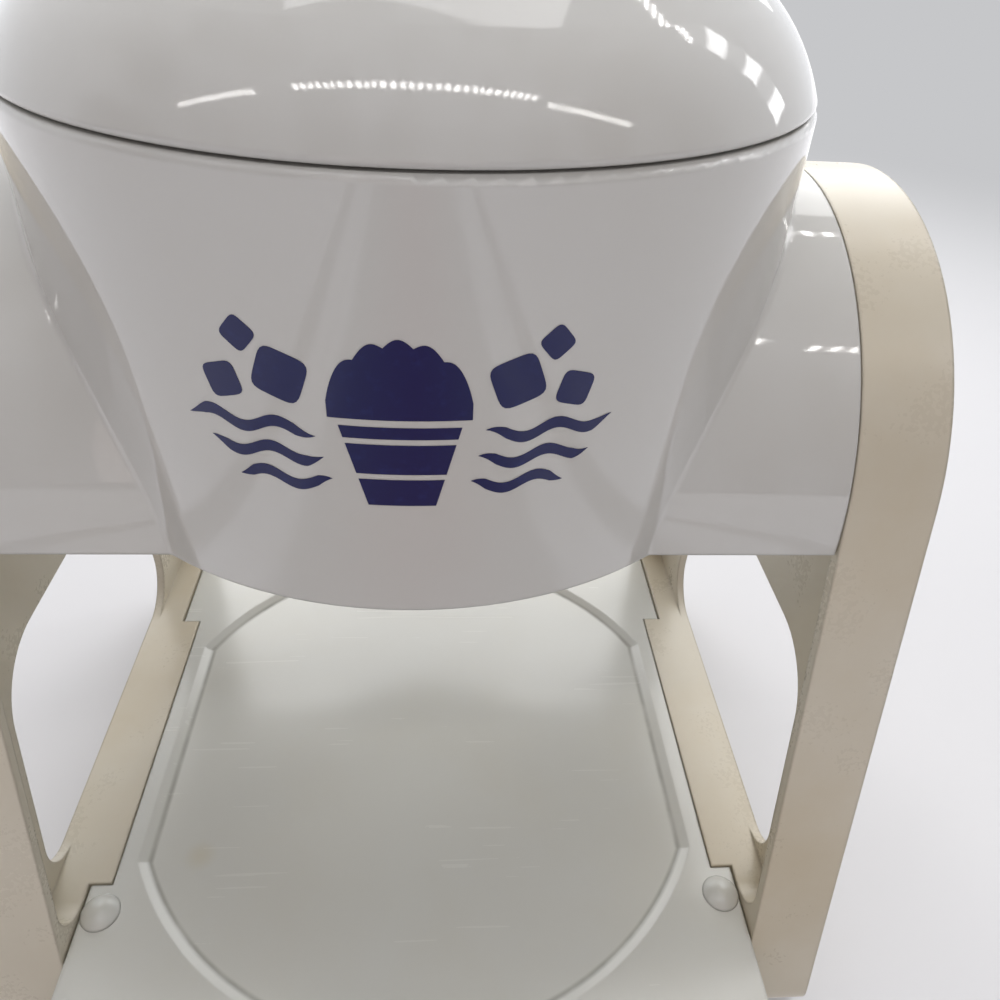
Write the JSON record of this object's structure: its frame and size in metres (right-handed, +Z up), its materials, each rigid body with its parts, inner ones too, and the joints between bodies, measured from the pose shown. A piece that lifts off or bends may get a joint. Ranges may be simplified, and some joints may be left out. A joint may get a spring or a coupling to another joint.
{
  "type": "hand-cranked ice shaver",
  "caption": "Hand-cranked ice shaver: round body between two side frames over a bowl tray, domed lid with a spring press and a top crank that turns ice over a slanted blade.",
  "frame": {"origin": "on the standing surface, under the middle of the outer box", "axes": "+Z up, +X to the right as seen from the front, -Y to the front, where the tray reaches out for the bowl"},
  "size_m": [0.197, 0.1938, 0.2976],
  "materials": {
    "white_shell": "glossy white moulded plastic",
    "cream_frame": "aged cream moulded plastic, semi-gloss",
    "grey_tray": "light grey moulded plastic, slightly cloudy",
    "bush_plastic": "natural bearing plastic",
    "foot_rubber": "matte rubber",
    "blade_steel": "ground stainless steel",
    "screw_steel": "bright plated steel"
  },
  "bodies": {
    "root": {"base_tray": "grey_tray", "tray_studs": "grey_tray", "rubber_feet": "foot_rubber", "side_frame_right": "cream_frame", "side_frame_left": "cream_frame", "head_screws": "screw_steel", "rail_screws": "screw_steel", "body_housing": "white_shell", "ice_chamber": "white_shell", "chamber_screws": "screw_steel", "blade": "blade_steel", "blade_clamp": "screw_steel", "blade_screws": "screw_steel"},
    "lid": {"lid_dome": "white_shell", "lid_guard": "white_shell", "lid_screws": "screw_steel", "shaft_bush": "bush_plastic"},
    "crank": {"thrust_washer": "screw_steel", "crank_spindle": "bush_plastic", "press_spring": "screw_steel", "crank_arm": "white_shell", "hub_cap": "cream_frame", "knob_pin": "screw_steel"},
    "press": {"press_stem": "screw_steel", "press_plate": "bush_plastic", "press_spikes": "blade_steel"},
    "knob": {"crank_knob": "cream_frame", "knob_cap": "cream_frame"}
  },
  "joints": [
    {"name": "lid_lift", "type": "slide", "parent": "root", "child": "lid", "axis": [0, 0, 1], "range_m": [0, 0.066]},
    {"name": "crank_turn", "type": "hinge", "parent": "lid", "child": "crank", "pos_m": [0, 0.0219, 0.24], "axis": [0, 0, 1], "continuous": true},
    {"name": "press_slide", "type": "slide", "parent": "crank", "child": "press", "axis": [0, 0, 1], "range_m": [0, 0.034], "stiffness_N_per_m": 150, "springref_m": -0.02, "deforming": ["press_spring"]},
    {"name": "knob_spin", "type": "hinge", "parent": "crank", "child": "knob", "pos_m": [0.072, 0.0219, 0.27], "axis": [0, 0, 1], "continuous": true}
  ]
}
